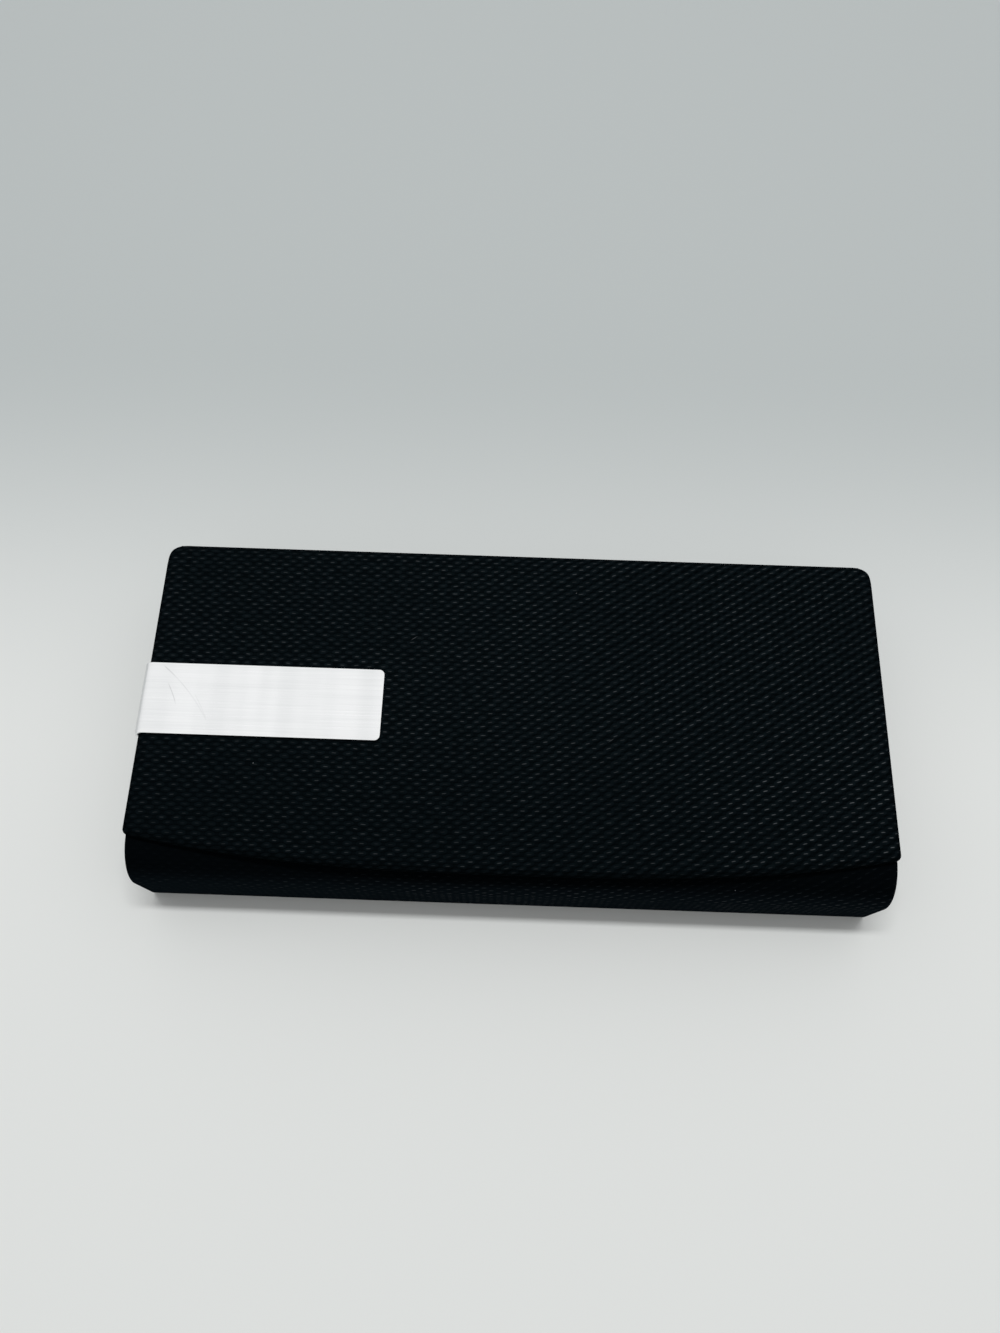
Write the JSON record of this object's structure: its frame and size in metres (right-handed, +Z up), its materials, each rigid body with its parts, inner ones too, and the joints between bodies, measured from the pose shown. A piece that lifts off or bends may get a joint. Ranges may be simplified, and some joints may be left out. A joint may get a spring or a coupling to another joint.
{
  "type": "hearing aid case",
  "caption": "Flat cloth-covered hard case with a cloth-hinged flap lid, a bowed finger lip, a bent metal plate on the lid and a foam insert with wells for hearing aids.",
  "frame": {"origin": "middle of the resting face: midway between the ends, and midway from the front wall to the back of the hinge roll", "axes": "+X along the case to the right as its front is faced, +Y from the front wall to the hinge, +Z up from the resting face to the lid"},
  "size_m": [0.1608, 0.0754, 0.0268],
  "materials": {
    "outer_cloth": "coarse plain-woven nylon, near black, faint sheen",
    "board": "grey-brown pressed board",
    "lining": "close-napped black lining",
    "velvet": "short-pile black velvet",
    "foam": "fine-celled charcoal foam",
    "magnet": "plated disc magnet",
    "plate": "bright plate brushed along its length",
    "pad": "thin white adhesive pad"
  },
  "bodies": {
    "case_body": {"floor_board": "board", "back_board": "board", "front_shell": "board", "left_end_board": "board", "right_end_board": "board", "base_cloth": "outer_cloth", "front_cloth": "outer_cloth", "left_end_cloth": "outer_cloth", "right_end_cloth": "outer_cloth", "hinge_cloth": "outer_cloth", "hinge_tape": "lining", "rim_magnets": "magnet", "insert_base": "foam", "well_felt": "lining", "insert_foam": "foam", "insert_velvet": "velvet"},
    "lid": {"lid_board": "board", "lid_cloth": "outer_cloth", "lid_lining": "lining", "lid_magnets": "magnet", "badge_plate": "plate", "badge_pad": "pad"}
  },
  "joints": [
    {"name": "lid_hinge", "type": "hinge", "parent": "case_body", "child": "lid", "pos_m": [0, 0.03525, 0.0235], "axis": [-1, 0, 0], "range_deg": [0, 175], "deforming": ["hinge_cloth", "hinge_tape"]}
  ]
}
